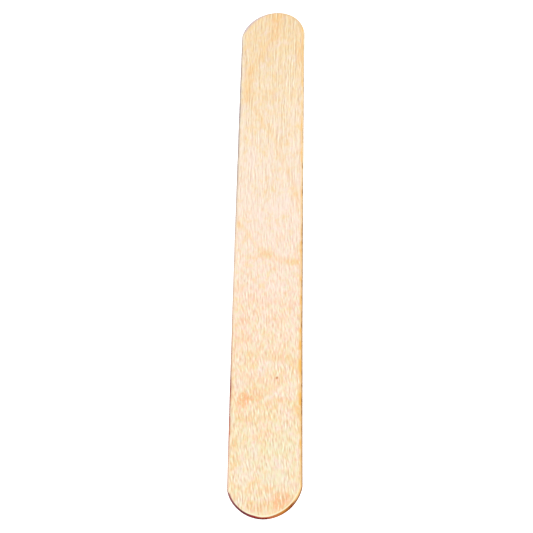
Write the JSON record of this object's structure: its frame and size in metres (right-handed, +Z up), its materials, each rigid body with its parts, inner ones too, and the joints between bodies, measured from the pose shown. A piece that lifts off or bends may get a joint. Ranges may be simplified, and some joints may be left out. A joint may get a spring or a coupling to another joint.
{
  "type": "wooden applicator stick",
  "caption": "Thin flat birch stick with straight parallel sides, rounded ends and eased edges, for spreading, stirring or pressing down.",
  "frame": {"origin": "middle of the underside, the wide face that the stick lies on", "axes": "+X across the stick, +Y along it from tip to tip, +Z up out of the upper wide face"},
  "size_m": [0.018, 0.15, 0.0016],
  "materials": {
    "birch": "matte"
  },
  "bodies": {
    "root": {"stick": "birch"}
  },
  "joints": []
}
